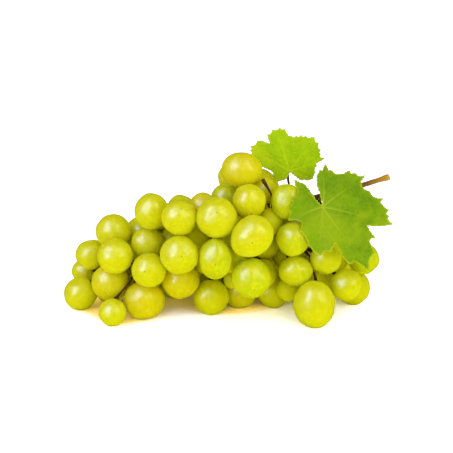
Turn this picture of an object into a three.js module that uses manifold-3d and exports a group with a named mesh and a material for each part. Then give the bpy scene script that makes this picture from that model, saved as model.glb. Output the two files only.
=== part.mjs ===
// A bunch of white table grapes lying on its side, with its cut stalk and two vine leaves.
// Millimetres, +Z up. +X runs along the bunch to the cut end of the stalk, -Y is the near side.
import * as THREE from "three";
import { mergeVertices } from "three/addons/utils/BufferGeometryUtils.js";
import Module from "manifold-3d";

const wasm = await Module();
wasm.setup();

// ---- Driving dimensions ----

const BERRY_COUNT = 57; // each berry is a piece of its own
const BERRY_DETAIL = 2; // subdivisions of the icosahedron a berry is rounded from
const TYPICAL_WIDTH = 21.5; // of the berries that the packing rule adds
const WIDTH_SPREAD = 2; // they are this much wider or narrower
const FAR_SPREAD = [-90, 105]; // degrees from the far side, down and up, that they cover
const SLUMP = 0.45; // 1 for a round underside; less where the bunch slumps out on the surface
const TYPICAL_STRETCH = 1.04; // length over width of a berry without a lean of its own
const GAP = 0.35; // kept clear between pieces that touch
const FLAT_DEPTH = 0.5; // how far a berry that carries the bunch is pressed flat
const CARRY_LIFT = 1.5; // a berry this close to the surface comes down onto it
const NEAR_YIELD = 0.12; // how readily a berry of the near face gives way, against 1 for an added one

// Berries of the near face, top and ends: along, back, up, width, length, lean.
// The lean, in degrees from upright towards +X, is of the long axis, on berries that are not round.
const NEAR_BERRIES = [
  // the tip
  [-91.5, -4, 10, 20, 20.5],
  [-69.5, -30, 8, 16, 16.5],
  [-52, -18, 12, 24, 23.5],
  [-71.5, -11, 19.5, 22.5, 22.5],
  [-89.5, 14, 16.5, 16, 16.5],
  [-84, 4, 32, 18, 18.5],
  [-68, -20, 39.5, 21, 21.5],
  [-70, 0, 48, 21, 21.5],
  // the flank between tip and shoulder
  [-49.5, -7, 44.5, 19.5, 20],
  [-47.5, -26, 33, 20, 20.5],
  [-46.5, -10, 63.5, 20, 22, 5],
  [-29, -23, 64.5, 20.5, 21],
  [-29, -30, 44, 22.5, 22.5],
  [-29.5, -16, 23, 22.5, 22.5],
  [-28.5, 4, 61.5, 16, 17],
  [-14.5, -7, 66, 17, 18],
  // the shoulder
  [-7, -26, 65.5, 23.5, 24],
  [-3, 5, 67, 18, 19],
  [9.5, 0, 85.5, 21, 24.5, 90],
  [1, 18, 77, 15.5, 16],
  [12, -16, 73, 19.5, 20],
  [19.5, 4, 75, 15, 16],
  [34.5, -12, 71, 18.5, 21, 0],
  // the belly
  [-8, -32, 42.5, 19.5, 24, 0],
  [-7.5, -10, 11.5, 21, 22, 0],
  [13, -34, 57, 22.5, 26.5, 42],
  [13, -32, 30, 22.5, 24, 0],
  [6.5, -2, 10, 20, 20.5],
  [25.5, 0, 10, 20.5, 21],
  // under the large leaf and the stalk end
  [38, -22, 51, 19, 20.5, 0],
  [40.5, -22, 30.5, 18, 20, 90],
  [50.5, -32, 14, 24.5, 28.5, 0],
  [57.5, -18, 37.5, 18.5, 19],
  [71, -19, 20.5, 19, 19.5, 90],
  [77.5, 4, 10, 21.5, 22],
  [83, 2, 29, 18.5, 19],
];

// The body of the bunch: along, height of its top, half its depth.
const BODY = [
  [-100, 18, 9],
  [-85, 36, 25],
  [-60, 47, 38],
  [-39, 66, 44],
  [-10, 71, 47],
  [8, 90, 46],
  [22, 80, 45],
  [46, 68, 44],
  [66, 60, 38],
  [80, 48, 29],
  [92, 26, 13],
];

// The middle of the stalk, from its cut end through the bunch to the tip.
const STALK = [
  [98, 11, 80],
  [84, 9, 76],
  [70, 7, 72],
  [54, 6, 69],
  [37, 7, 63],
  [18, 7, 52],
  [-5, 3, 44],
  [-30, 0, 38],
  [-52, 1, 32],
  [-68, 3, 27],
];
// The middle of a bare twig that has lost its berry, from the stalk to its swollen end.
const SPUR = [
  [27, 7, 58],
  [26, -2, 65],
  [25.3, -6.3, 74],
  [20, -8.3, 83.8],
];
const SPUR_WIDTHS = [1.6, 1.3, 1.3, 2.8];
const SPUR_STEPS = 9;
const STALK_SIDES = 7;
const STALK_STEPS = 28;
const CUT_END_WIDTH = 3.4;
const STALK_WIDTH = 2.9;
const STALK_TIP_WIDTH = 1.9;

const TWIG_SIDES = 5;
const TWIG_STEP = 6; // length of a straight stretch of a twig
const TWIG_WIDTH = 1.5; // of a twig that carries one berry
const TWIG_GROWTH = 0.28; // power of the number of berries carried that its width grows by
const CAP_WIDTH = 3; // of the twig's swollen end at the berry
const PETIOLE_WIDTHS = [2.2, 1.7, 2]; // at the stalk, midway and at the blade
const PETIOLE_STEPS = 6;
const PETIOLE_SQUARE = 2; // length that meets the blade squarely
const LEAST_ROOM = 1.25; // between the middle of a twig and a berry it passes
const JOIN_SHARE = 0.5; // how much the way onward counts where a twig joins another

const BLADE_THICKNESS = 0.8;
const BLADE_SPOKES = 112;
const RINGS = [0.36, 0.7, 1]; // of a blade, as shares of the way out to its edge
const FULL_TOOTH = 4; // length of edge that has a tooth of full depth
const PLEAT_SPREAD = 18; // degrees off a vein at which the blade stands highest over it
const TOOTH_DEPTH = 0.9; // between a tooth's tip and the notch beside it
const BLADE_REACH = 32; // from the junction to where the dome and the wave are in full
const FLARE_SPREAD = 50; // degrees from the gap over which its sides' drawing back fades
const FLARE_REACH = 8; // and length of edge over which it does

// A leaf's edge is given as degrees round its junction, from +X towards its top, and millimetres.
const LARGE_LEAF = {
  name: "leaf_large",
  junction: [55.2, -21, 70.6],
  lean: 34, // degrees its top leans away from the viewer
  turn: 6, // degrees its right side turns away
  dome: 5,
  pleat: 1.3,
  wave: 1.6,
  waves: 9,
  petioleFrom: 0.24, // place along the stalk, 0 at its cut end
  petioleBend: [54.5, -8, 71],
  sinus: 115, // direction of the gap between the lobes at the petiole
  flare: [17, 34], // degrees that the gap's two sides draw back at the junction
  edge: [
    [111.5, 2], [110, 8], [108.5, 15], [103, 20.5], [97, 23.7], [94, 23], [89, 27.5], [84, 23.5], [80, 24],
    [76, 22.8], [68, 23], [63, 24], [58, 28], [54, 27], [50, 29], [46, 28.7], [41, 32.5], [38.5, 28],
    [35, 27.4], [25, 28.2], [22, 29.5], [18, 29.6], [12.5, 32.5], [11, 36], [8, 34], [1, 39], [-2, 37.3],
    [-4, 39.3], [-6, 38.4], [-10, 42.4], [-14, 37], [-18, 31.5], [-20, 28], [-24, 30], [-29, 36], [-31, 34],
    [-34, 33.7], [-40, 40.6], [-43, 40.4], [-49, 43], [-52, 46.2], [-53, 42], [-57, 37.3], [-59, 36.4],
    [-62, 37.4], [-65, 35.4], [-67, 29.3], [-69.5, 23], [-72, 24.8], [-76, 25.2], [-78, 27.3], [-81, 26.6],
    [-88, 27.4], [-91, 28.8], [-97, 28], [-101, 26.4], [-108, 24.8], [-110, 22.8], [-115, 21.5], [-122, 20.8],
    [-126, 19.5], [-129, 21], [-132, 18.2], [-136, 16.5], [-145, 16], [-152, 17.5], [-157, 22], [-163, 20.5],
    [-167, 19.3], [-173, 20.3], [-179, 18.6], [-184, 17.5], [-189, 19.2], [-194, 18], [-202, 16.6],
    [-209, 16.7], [-219, 21.4], [-224, 23.8], [-228, 20], [-232.5, 19], [-235.5, 16], [-238, 12],
    [-240, 7], [-243.5, 2],
  ],
  veins: [[-10, 42], [-52, 46], [-92, 29], [-157, 22], [-224, 23], [89, 27], [41, 32]],
};
const SMALL_LEAF = {
  name: "leaf_small",
  junction: [37.2, 17, 82],
  lean: 8,
  turn: -8,
  dome: 4,
  pleat: 1.1,
  wave: 1.2,
  waves: 7,
  petioleFrom: 0.33,
  petioleBend: [37, 20, 74],
  sinus: -70,
  flare: [0, 0],
  edge: [
    [-43, 1.5], [-42, 6], [-39, 10.4], [-31, 11.2], [-29, 13.9], [-24, 14.8], [-20, 16.3], [-12, 16.4],
    [-5, 17], [3, 16.4], [8, 18.2], [13, 17.9], [14.5, 21], [17, 24.2], [20, 22], [22, 21.6], [26, 22.8],
    [29, 22.4], [31, 24.1], [36, 23.4], [41, 25.7], [44, 24.6], [47, 24.9], [50.5, 26.4], [54, 25.5],
    [57, 24], [63, 24.3], [66, 22.8], [70, 23.5], [73, 21.8], [77, 22.4], [80, 21.1], [85, 21.9],
    [90, 22], [93, 24.2], [94.5, 26.1], [97, 25.8], [101, 27.3], [111, 27.7], [113, 26.6], [120, 26.8],
    [121.5, 24.5], [124, 21], [127, 22.5], [130.5, 25.6], [135, 27.4], [139, 26.6], [146, 28.5],
    [148, 26.8], [150.5, 27.4], [152.5, 25.6], [155, 25.8], [157, 22], [161, 22.3], [165, 20.7],
    [168, 18.6], [170.5, 16], [173, 13.5], [177, 11.6], [183, 10.2], [195, 10.9], [207, 10], [220, 10.2],
    [226, 8.4], [238, 6.6], [249, 5], [258, 3], [270, 1.4],
  ],
  veins: [[17, 23], [50, 26], [104, 27], [147, 28], [208, 10], [-18, 16]],
};

// ---- Helpers ----

const SEED = 20;
let drawState = SEED;
/** A repeatable draw between 0 and 1. */
function draw() {
  drawState = (Math.imul(drawState, 1664525) + 1013904223) >>> 0;
  return drawState / 4294967296;
}

const vector = (p) => new THREE.Vector3(...p);
const radians = THREE.MathUtils.degToRad;

/** The values of a table's row at x, with the rows sorted by their first number. */
function between(rows, x) {
  const last = rows.length - 1;
  let k = rows.findIndex((row) => row[0] > x);
  if (k === -1) k = last;
  k = Math.max(k, 1);
  const t = THREE.MathUtils.clamp((x - rows[k - 1][0]) / (rows[k][0] - rows[k - 1][0]), 0, 1);
  return rows[k].map((value, i) => THREE.MathUtils.lerp(rows[k - 1][i], value, t));
}

/** A geometry as a closed solid with its faces out. */
function toSolid(geometry) {
  const bare = new THREE.BufferGeometry();
  bare.setAttribute("position", geometry.getAttribute("position"));
  bare.setIndex(geometry.index);
  const merged = mergeVertices(bare, 1e-4);
  const triVerts = new Uint32Array(merged.index.array);
  const vertProperties = new Float32Array(merged.attributes.position.array);
  const made = new wasm.Manifold(new wasm.Mesh({ numProp: 3, vertProperties, triVerts }));
  if (made.volume() > 0) return made;
  for (let i = 0; i < triVerts.length; i += 3) {
    [triVerts[i + 1], triVerts[i + 2]] = [triVerts[i + 2], triVerts[i + 1]];
  }
  return new wasm.Manifold(new wasm.Mesh({ numProp: 3, vertProperties, triVerts }));
}

/** A solid as a geometry to draw. */
function toGeometry(solid) {
  const mesh = solid.getMesh();
  const geometry = new THREE.BufferGeometry();
  geometry.setAttribute("position", new THREE.BufferAttribute(mesh.vertProperties, 3));
  geometry.setIndex(new THREE.BufferAttribute(mesh.triVerts, 1));
  geometry.computeVertexNormals();
  return geometry;
}

// ---- Materials ----

const SKIN = new THREE.MeshStandardMaterial({ color: 0xd8d23a, roughness: 0.3, metalness: 0 });
const BARK = new THREE.MeshStandardMaterial({ color: 0x8a5a22, roughness: 0.7, metalness: 0 });
const LARGE_BLADE = new THREE.MeshStandardMaterial({ color: 0x7f9f1c, roughness: 0.55, metalness: 0 });
const SMALL_BLADE = new THREE.MeshStandardMaterial({ color: 0x9fbe12, roughness: 0.55, metalness: 0 });

// ---- The stalk's middle line, which the berries pack round ----

const stalkLine = new THREE.CatmullRomCurve3(STALK.map(vector));
const STALK_BEADS = 90;
const stalkBeads = stalkLine.getSpacedPoints(STALK_BEADS);

/** The stalk's point nearest to a place, no further out than the bunch's first berries. */
function nearestOnStalk(place) {
  let best = stalkBeads[0];
  for (const bead of stalkBeads) {
    if (bead.x < STALK[4][0] && bead.distanceTo(place) < best.distanceTo(place)) best = bead;
  }
  return best;
}

// ---- Berries ----

const UPRIGHT = new THREE.Vector3(0, 1, 0); // the long axis of a berry before it is turned

/** A berry: an ellipsoid of revolution whose long axis points at the stalk, or leans as given. */
class Berry {
  constructor(place, width, length, lean) {
    this.place = place;
    this.half = { width: width / 2, length: length / 2 };
    this.axis =
      lean === undefined
        ? nearestOnStalk(place).clone().sub(place).normalize()
        : new THREE.Vector3(Math.sin(radians(lean)), 0, Math.cos(radians(lean)));
    this.shape = new THREE.IcosahedronGeometry(1, BERRY_DETAIL);
    this.shape.deleteAttribute("normal");
    this.shape.deleteAttribute("uv");
    this.shape.scale(this.half.width, this.half.length, this.half.width);
    this.shape.applyQuaternion(new THREE.Quaternion().setFromUnitVectors(UPRIGHT, this.axis));
    this.shape.computeBoundingBox();
    this.restHeight = -this.shape.boundingBox.min.z - FLAT_DEPTH;
    this.carries = place.z < this.restHeight + CARRY_LIFT;
    this.added = false;
  }

  /** How far the ellipsoid reaches along a unit direction, measured square to it. */
  reach(direction) {
    const along = direction.dot(this.axis) ** 2;
    return Math.sqrt(this.half.width ** 2 * (1 - along) + this.half.length ** 2 * along);
  }

  /** How far its surface lies from its middle in a unit direction. */
  radius(direction) {
    const along = direction.dot(this.axis) ** 2;
    return 1 / Math.sqrt((1 - along) / this.half.width ** 2 + along / this.half.length ** 2);
  }

  /** About how far a point is outside the surface. */
  clearance(point) {
    const away = point.clone().sub(this.place);
    const distance = away.length();
    return distance - this.radius(away.divideScalar(distance));
  }
}

const berries = NEAR_BERRIES.map(
  ([x, y, z, width, length, lean]) => new Berry(new THREE.Vector3(x, y, z), width, length, lean),
);

/** Places just inside the far half of the bunch's surface, spread evenly round it and along it. */
function farPlaces(inset) {
  const places = [];
  const GOLDEN = 0.618034;
  const TRIES = 2400;
  for (let i = 0; i < TRIES; i++) {
    const x = THREE.MathUtils.lerp(BODY[0][0] + inset, BODY.at(-1)[0] - inset, (i * GOLDEN) % 1);
    const angle = radians(THREE.MathUtils.lerp(...FAR_SPREAD, i / TRIES));
    const [, top, halfDepth] = between(BODY, x);
    const out = Math.cos(angle);
    const fullness = angle < 0 ? Math.max(out, 0) ** SLUMP : out;
    const y = fullness * Math.max(halfDepth - inset, 0);
    const z = top / 2 + Math.sin(angle) * Math.max(top / 2 - inset, 0);
    places.push(new THREE.Vector3(x, y, Math.max(z, inset - FLAT_DEPTH)));
  }
  return places;
}

/** Adds berries one by one, each in the snuggest place left on the bunch's far half. */
function packBerries(blocks) {
  const ROOM = -1.2; // the settling afterwards clears this much overlap
  const NEIGHBOURS = 3;
  while (berries.length < BERRY_COUNT) {
    const width = TYPICAL_WIDTH + WIDTH_SPREAD * (2 * draw() - 1);
    let best = null;
    let bestScore = Infinity;
    for (const place of farPlaces(width / 2)) {
      const gaps = berries.map((b) => b.clearance(place) - width / 2).sort((a, b) => a - b);
      const blocked = blocks.some((block) => block.distanceTo(place) < width / 2 + GAP);
      if (blocked || gaps[0] < ROOM) continue;
      const score = gaps.slice(0, NEIGHBOURS).reduce((sum, gap) => sum + gap, 0);
      if (score < bestScore) [best, bestScore] = [place, score];
    }
    if (!best) throw new Error("no room for berry " + (berries.length + 1));
    const berry = new Berry(best, width, width * TYPICAL_STRETCH);
    berry.added = true;
    berries.push(berry);
  }
}

/** Pushes the berries apart, off the stalk and the blocks, and down to the surface. */
function settleBerries(blocks) {
  const PASSES = 400;
  const DRAW_IN = 0.002; // share of its way to the stalk that an added berry comes in a pass
  const direction = new THREE.Vector3();
  for (let pass = 0; pass < PASSES; pass++) {
    for (const berry of berries) {
      if (!berry.added || pass > PASSES / 2) continue;
      berry.place.lerp(nearestOnStalk(berry.place), DRAW_IN);
    }
    for (const [i, a] of berries.entries()) {
      for (const b of berries.slice(i + 1)) {
        direction.copy(b.place).sub(a.place);
        const distance = direction.length();
        direction.divideScalar(distance);
        const push = a.reach(direction) + b.reach(direction) + GAP - distance;
        if (push <= 0) continue;
        const aYields = a.added ? 1 : NEAR_YIELD;
        const bYields = b.added ? 1 : NEAR_YIELD;
        a.place.addScaledVector(direction, (-push * aYields) / (aYields + bYields));
        b.place.addScaledVector(direction, (push * bYields) / (aYields + bYields));
      }
      for (const block of blocks) {
        direction.copy(a.place).sub(block);
        const distance = direction.length();
        direction.divideScalar(distance);
        const push = a.reach(direction) + STALK_WIDTH / 2 + GAP - distance;
        if (push > 0) a.place.addScaledVector(direction, push);
      }
      if (a.carries || a.place.z < a.restHeight) a.place.z = a.restHeight;
    }
  }
}

/** A berry as a solid, pressed flat where it meets the surface. */
function berrySolid(berry) {
  const solid = toSolid(berry.shape.clone().translate(...berry.place.toArray()));
  return berry.place.z > berry.restHeight + FLAT_DEPTH ? solid : solid.subtract(below);
}
const WIDE = 300;
const DEEP = 20;
const below = toSolid(new THREE.BoxGeometry(WIDE, WIDE, DEEP).translate(0, 0, -DEEP / 2));

// ---- Leaves ----

/** A vine leaf's blade: rings of points round the junction, alike on both faces. */
class Leaf {
  constructor(form) {
    Object.assign(this, form);
    this.turned = new THREE.Quaternion().setFromEuler(
      new THREE.Euler(radians(90 - this.lean), 0, radians(-this.turn), "ZXY"),
    );
    this.normal = new THREE.Vector3(0, 0, 1).applyQuaternion(this.turned);
    this.rows = this.toothedEdge(this.edge);
    this.heights = [];
    for (let k = 0; k < BLADE_SPOKES * RINGS.length + 1; k++) {
      this.heights.push(this.rise(...this.flatPoint(k)));
    }
  }

  /** Adds teeth to the edge: its longest stretch is halved, and pulled in there, until there are enough. */
  toothedEdge(edge) {
    const rows = edge.map((row) => [...row]).sort((a, b) => a[0] - b[0]);
    const end = ([angle, distance]) => [angle + 360, distance];
    const stretch = (i) => {
      const [[a, from], [b, to]] = [rows[i], rows[i + 1] ?? end(rows[0])];
      return radians(b - a) * Math.min(from, to);
    };
    while (rows.length < BLADE_SPOKES) {
      let longest = 0;
      for (let i = 1; i < rows.length; i++) if (stretch(i) > stretch(longest)) longest = i;
      const [[a, from], [b, to]] = [rows[longest], rows[longest + 1] ?? end(rows[0])];
      const notch = TOOTH_DEPTH * Math.min(stretch(longest) / FULL_TOOTH, 1);
      rows.splice(longest + 1, 0, [(a + b) / 2, (from + to) / 2 - notch]);
    }
    return rows;
  }

  /** Point k of the flat blade: 0 is the junction, then ring by ring outwards. */
  flatPoint(k) {
    if (k === 0) return [0, 0];
    const share = RINGS[Math.floor((k - 1) / BLADE_SPOKES)];
    const [angle, edge] = this.rows[(k - 1) % BLADE_SPOKES];
    const distance = edge * share;
    const off = ((angle - this.sinus + 900) % 360) - 180;
    const held = share ** 2 * (1 - Math.exp(-edge / FLARE_REACH));
    const drawn = (off < 0 ? -this.flare[0] : this.flare[1]) * Math.exp(-Math.abs(off) / FLARE_SPREAD);
    const direction = radians(angle + drawn * (1 - held));
    return [distance * Math.cos(direction), distance * Math.sin(direction)];
  }

  /** The blade's height over its plane: domed, pleated between the veins and waved at its edge. */
  rise(across, up) {
    const distance = Math.hypot(across, up);
    if (distance === 0) return 0;
    const angle = Math.atan2(up, across);
    const share = distance / BLADE_REACH;
    const near = Math.max(...this.veins.map(([vein]) => Math.cos(angle - radians(vein))));
    const offVein = Math.min(Math.acos(near) / radians(PLEAT_SPREAD), 1);
    const pleat = (this.pleat * Math.min(share, 1) * (1 - Math.cos(Math.PI * offVein))) / 2;
    const wave = this.wave * share ** 2 * Math.sin(this.waves * angle);
    return pleat + wave - this.dome * share ** 2;
  }

  /** Where a point of the blade is: across and up its plane, and over it. */
  place(across, up, over) {
    return new THREE.Vector3(across, up, over).applyQuaternion(this.turned).add(vector(this.junction));
  }

  /** Lifts the blade clear of what lies behind it. */
  drapeOver(pieces) {
    const PASSES = 12;
    const STEP = 0.25;
    const CLEAR = 2 * BLADE_THICKNESS + GAP;
    const NEARBY = 12;
    const count = this.heights.length;
    for (let pass = 0; pass < PASSES; pass++) {
      for (let k = 0; k < count; k++) {
        const flat = this.flatPoint(k);
        const near = pieces.filter((b) => b.clearance(this.place(...flat, this.heights[k])) < NEARBY);
        while (near.some((b) => b.clearance(this.place(...flat, this.heights[k])) < CLEAR)) {
          this.heights[k] += STEP;
        }
      }
      if (pass + 1 < PASSES) this.smooth();
    }
  }

  /** Evens out each height with its neighbours' on the same ring and spoke. */
  smooth() {
    const EASE = 0.3;
    const old = [...this.heights];
    for (let ring = 1; ring <= RINGS.length; ring++) {
      for (let s = 0; s < BLADE_SPOKES; s++) {
        const at = (r, i) => (r === 0 ? 0 : 1 + (r - 1) * BLADE_SPOKES + ((i + BLADE_SPOKES) % BLADE_SPOKES));
        const around = [at(ring - 1, s), at(Math.min(ring + 1, RINGS.length), s)];
        if (s > 0) around.push(at(ring, s - 1));
        if (s < BLADE_SPOKES - 1) around.push(at(ring, s + 1));
        const mean = around.reduce((sum, k) => sum + old[k], 0) / around.length;
        const lifted = mean - this.rise(...this.flatPoint(at(ring, s)));
        const own = old[at(ring, s)];
        if (lifted > 0) this.heights[at(ring, s)] = own + EASE * (mean - own);
      }
    }
  }

  solid() {
    const count = this.heights.length;
    const positions = [];
    for (const side of [0.5, -0.5]) {
      for (let k = 0; k < count; k++) {
        const over = this.heights[k] + side * BLADE_THICKNESS;
        positions.push(...this.place(...this.flatPoint(k), over).toArray());
      }
    }
    const faces = [];
    const both = (a, b, c) => faces.push(a, b, c, count + a, count + c, count + b);
    const last = 1 + (RINGS.length - 1) * BLADE_SPOKES;
    for (let s = 0; s < BLADE_SPOKES; s++) {
      const next = (s + 1) % BLADE_SPOKES;
      both(0, 1 + s, 1 + next);
      for (let ring = 1; ring < RINGS.length; ring++) {
        const inner = 1 + (ring - 1) * BLADE_SPOKES;
        const outer = inner + BLADE_SPOKES;
        both(inner + s, outer + s, outer + next);
        both(inner + s, outer + next, inner + next);
      }
      faces.push(last + s, count + last + s, count + last + next);
      faces.push(last + s, count + last + next, last + next);
    }
    const geometry = new THREE.BufferGeometry();
    geometry.setAttribute("position", new THREE.Float32BufferAttribute(positions, 3));
    geometry.setIndex(faces);
    return toSolid(geometry);
  }

  points() {
    return this.heights.map((height, k) => this.place(...this.flatPoint(k), height));
  }
}

const largeLeaf = new Leaf(LARGE_LEAF);
const smallLeaf = new Leaf(SMALL_LEAF);

/** The middle of a leaf's petiole, from the stalk up to its blade. */
function petioleLine(leaf) {
  const root = stalkLine.getPointAt(leaf.petioleFrom);
  const end = vector(leaf.junction).addScaledVector(leaf.normal, -BLADE_THICKNESS / 2 - 2 * GAP);
  const under = end.clone().addScaledVector(leaf.normal, -PETIOLE_SQUARE);
  return new THREE.CatmullRomCurve3([root, vector(leaf.petioleBend), under, end]);
}
const petioles = [largeLeaf, smallLeaf].map(petioleLine);
const spurLine = new THREE.CatmullRomCurve3(SPUR.map(vector));
const TWIG_BEADS = 16;
const twigBeads = [...petioles, spurLine].flatMap((line) => line.getSpacedPoints(TWIG_BEADS));

const blocks = [...stalkBeads, ...twigBeads, ...smallLeaf.points()];
packBerries(blocks);
settleBerries(blocks);
largeLeaf.drapeOver(berries);

// ---- Stalk and twigs ----

/** A tapering stem along a line; widths are given at even places along it. */
function stem(line, sides, steps, widths) {
  const corners = [];
  for (let i = 0; i < sides; i++) {
    const angle = (2 * Math.PI * i) / sides;
    corners.push(new THREE.Vector2(Math.cos(angle), Math.sin(angle)));
  }
  const shape = new THREE.Shape(corners);
  const geometry = new THREE.ExtrudeGeometry(shape, { steps, extrudePath: line, curveSegments: 1 });
  const stations = line.getSpacedPoints(steps);
  const position = geometry.getAttribute("position");
  const point = new THREE.Vector3();
  for (let i = 0; i < position.count; i++) {
    point.fromBufferAttribute(position, i);
    let nearest = 0;
    for (let s = 1; s <= steps; s++) {
      if (point.distanceTo(stations[s]) < point.distanceTo(stations[nearest])) nearest = s;
    }
    const place = (nearest / steps) * (widths.length - 1);
    const k = Math.min(Math.floor(place), widths.length - 2);
    const width = THREE.MathUtils.lerp(widths[k], widths[k + 1], place - k);
    point.sub(stations[nearest]).multiplyScalar(width / 2).add(stations[nearest]);
    position.setXYZ(i, ...point.toArray());
  }
  return toSolid(geometry);
}

const CELL = 1.5; // side of a cell of the free space
const OPEN = 9; // room of a cell that nothing is near
const CORNERS = [[-100, -50, 1.5], [92, 50, 98]]; // of the space that twigs may grow in
const CENTRING = 1.5; // how much cheaper a way down the middle of a gap is

/** The free space between the berries, in cells, and the ways through it to the stalk. */
class FreeSpace {
  constructor(low, high) {
    this.cell = CELL;
    this.low = low;
    this.size = high.clone().sub(low).divideScalar(this.cell).floor().addScalar(1);
    const count = this.size.x * this.size.y * this.size.z;
    this.room = new Float32Array(count).fill(OPEN);
    this.outward = new Float32Array(count);
  }

  index(point) {
    const at = point.clone().sub(this.low).divideScalar(this.cell).round();
    at.clamp(new THREE.Vector3(), this.size.clone().subScalar(1));
    return at.x + this.size.x * (at.y + this.size.y * at.z);
  }

  point(index) {
    const { x, y } = this.size;
    const at = new THREE.Vector3(index % x, Math.floor(index / x) % y, Math.floor(index / (x * y)));
    return at.multiplyScalar(this.cell).add(this.low);
  }

  /** Calls back for each cell within reach of a point. */
  around(middle, reach, each) {
    const low = middle.clone().subScalar(reach).sub(this.low).divideScalar(this.cell).ceil();
    const high = middle.clone().addScalar(reach).sub(this.low).divideScalar(this.cell).floor();
    low.clamp(new THREE.Vector3(), this.size);
    high.clamp(new THREE.Vector3(), this.size.clone().subScalar(1));
    for (let z = low.z; z <= high.z; z++) {
      for (let y = low.y; y <= high.y; y++) {
        for (let x = low.x; x <= high.x; x++) each(x + this.size.x * (y + this.size.y * z));
      }
    }
  }

  fill(pieces, points) {
    const REACH = 6;
    const KEPT_CLEAR = 1; // round a point of a blade
    const OUTWARD = 26; // millimetres off the stalk at which a way counts double
    for (let i = 0; i < this.room.length; i++) {
      const at = this.point(i);
      this.outward[i] = (at.distanceTo(nearestOnStalk(at)) / OUTWARD) ** 2;
    }
    for (const berry of pieces) {
      this.around(berry.place, berry.half.length + REACH, (i) => {
        this.room[i] = Math.min(this.room[i], berry.clearance(this.point(i)));
      });
    }
    for (const point of points) {
      this.around(point, REACH, (i) => {
        this.room[i] = Math.min(this.room[i], point.distanceTo(this.point(i)) - KEPT_CLEAR);
      });
    }
  }

  /**
   * The cheapest way from any of the starts to the network, as cells from its start. A way down the
   * middle of a gap and close to the stalk is cheap, and so is one that joins the network near it.
   */
  wayToNetwork(starts, network) {
    const way = new Float32Array(this.room.length).fill(Infinity);
    const from = new Int32Array(this.room.length).fill(-1);
    const heap = new Heap((a, b) => a.way - b.way);
    for (const { cell, cost } of starts) {
      if (this.room[cell] < LEAST_ROOM || cost >= way[cell]) continue;
      way[cell] = cost;
      heap.push({ cell, way: cost });
    }
    let goal = -1;
    let least = Infinity;
    while (heap.size && heap.top.way < least) {
      const { cell, way: cost } = heap.pop();
      if (cost > way[cell]) continue;
      const joined = network.get(cell);
      if (joined?.open && cost + JOIN_SHARE * joined.distance < least) {
        least = cost + JOIN_SHARE * joined.distance;
        goal = cell;
      }
      for (const [next, length] of this.neighbours(cell)) {
        if (this.room[next] < LEAST_ROOM) continue;
        const longer = cost + length * (1 + CENTRING / this.room[next] + this.outward[next]);
        if (longer >= way[next]) continue;
        way[next] = longer;
        from[next] = cell;
        heap.push({ cell: next, way: longer });
      }
    }
    const cells = [];
    for (let cell = goal; cell !== -1; cell = from[cell]) cells.unshift(cell);
    return cells;
  }

  /** The cells around a cell, with the distance to each. */
  neighbours(cell) {
    const { x: nx, y: ny, z: nz } = this.size;
    const [x, y, z] = [cell % nx, Math.floor(cell / nx) % ny, Math.floor(cell / (nx * ny))];
    const found = [];
    for (const [dx, dy, dz] of STEPS_AROUND) {
      const [u, v, w] = [x + dx, y + dy, z + dz];
      if (u < 0 || v < 0 || w < 0 || u >= nx || v >= ny || w >= nz) continue;
      found.push([u + nx * (v + ny * w), this.cell * Math.hypot(dx, dy, dz)]);
    }
    return found;
  }
}

const AROUND = [-1, 0, 1];
const STEPS_AROUND = AROUND.flatMap((x) => AROUND.flatMap((y) => AROUND.map((z) => [x, y, z]))).filter(
  (step) => step.some((part) => part !== 0),
);

/** A queue that gives back its least item first. */
class Heap {
  constructor(compare) {
    this.compare = compare;
    this.items = [];
  }

  get size() {
    return this.items.length;
  }

  get top() {
    return this.items[0];
  }

  push(item) {
    let i = this.items.push(item) - 1;
    while (i > 0) {
      const parent = (i - 1) >> 1;
      if (this.compare(this.items[i], this.items[parent]) >= 0) break;
      [this.items[i], this.items[parent]] = [this.items[parent], this.items[i]];
      i = parent;
    }
  }

  pop() {
    const top = this.items[0];
    const last = this.items.pop();
    if (this.items.length) this.items[0] = last;
    let i = 0;
    while (true) {
      let least = i;
      for (const child of [2 * i + 1, 2 * i + 2]) {
        if (child >= this.items.length) continue;
        if (this.compare(this.items[child], this.items[least]) < 0) least = child;
      }
      if (least === i) return top;
      [this.items[i], this.items[least]] = [this.items[least], this.items[i]];
      i = least;
    }
  }
}

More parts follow.
